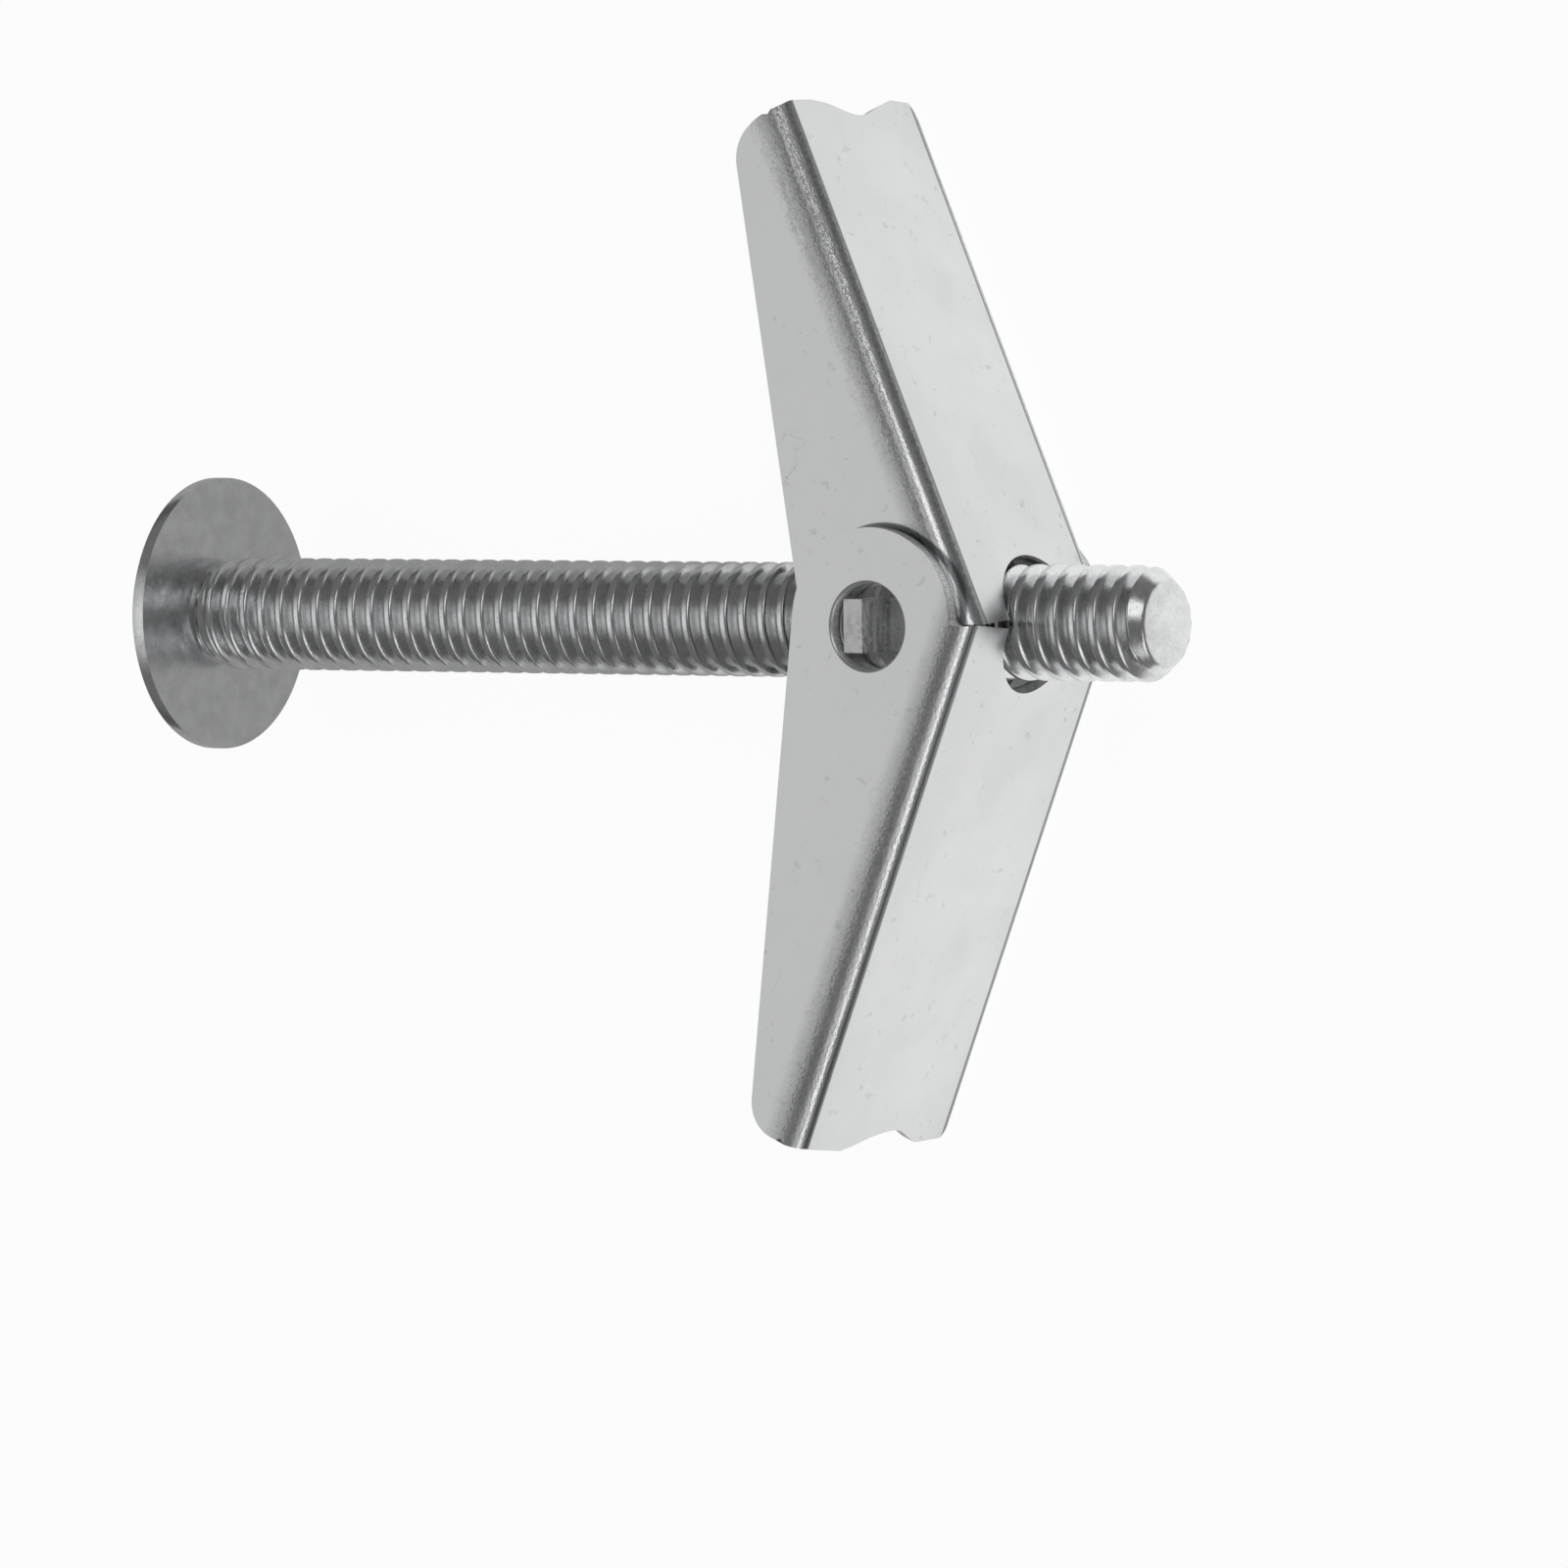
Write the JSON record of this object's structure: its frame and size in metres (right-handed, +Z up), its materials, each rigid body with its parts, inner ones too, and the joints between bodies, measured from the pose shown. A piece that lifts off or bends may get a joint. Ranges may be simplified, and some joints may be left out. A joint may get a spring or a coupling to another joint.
{
  "type": "toggle bolt",
  "caption": "Spring-wing toggle bolt: slotted dome-head machine screw in a formed trunnion nut that carries two nested channel wings and their torsion spring",
  "frame": {"origin": "centre of the head's bearing face, on the screw's axis", "axes": "+X along the screw from the head to the tip; +Z up, along the wing pivot, as the part lies on the outer wing's lower ear and the head's rim; +Y towards the inner wing's side"},
  "size_m": [0.0671, 0.0572, 0.0154],
  "materials": {
    "screw_zinc": "bright zinc plate over a rolled thread, glossy",
    "nut_zinc": "bright zinc plate on a drawn strip, glossy",
    "inner_wing_zinc": "bright zinc plated sheet, satin with faint handling marks",
    "outer_wing_zinc": "bright zinc plated sheet, satin with faint handling marks",
    "spring_wire": "drawn spring wire, semi bright"
  },
  "bodies": {
    "screw": {"machine_screw": "screw_zinc"},
    "nut": {"trunnion_nut": "nut_zinc", "wing_spring": "spring_wire"},
    "inner_wing": {"inner_wing": "inner_wing_zinc"},
    "outer_wing": {"outer_wing": "outer_wing_zinc"}
  },
  "joints": [
    {"name": "nut_travel", "type": "slide", "parent": "screw", "child": "nut", "axis": [1, 0, 0], "range_m": [-0.018, 0.011]},
    {"name": "inner_wing_hinge", "type": "hinge", "parent": "nut", "child": "inner_wing", "pos_m": [0.0493, 0, 0], "axis": [0, 0, 1], "range_deg": [0, 69.8], "stiffness_Nm_per_rad": 0.01, "springref_deg": -45.84, "deforming": ["wing_spring"]},
    {"name": "outer_wing_hinge", "type": "hinge", "parent": "nut", "child": "outer_wing", "pos_m": [0.0493, 0, 0], "axis": [0, 0, -1], "range_deg": [0, 71.4], "stiffness_Nm_per_rad": 0.01, "springref_deg": -45.84, "deforming": ["wing_spring"]}
  ]
}
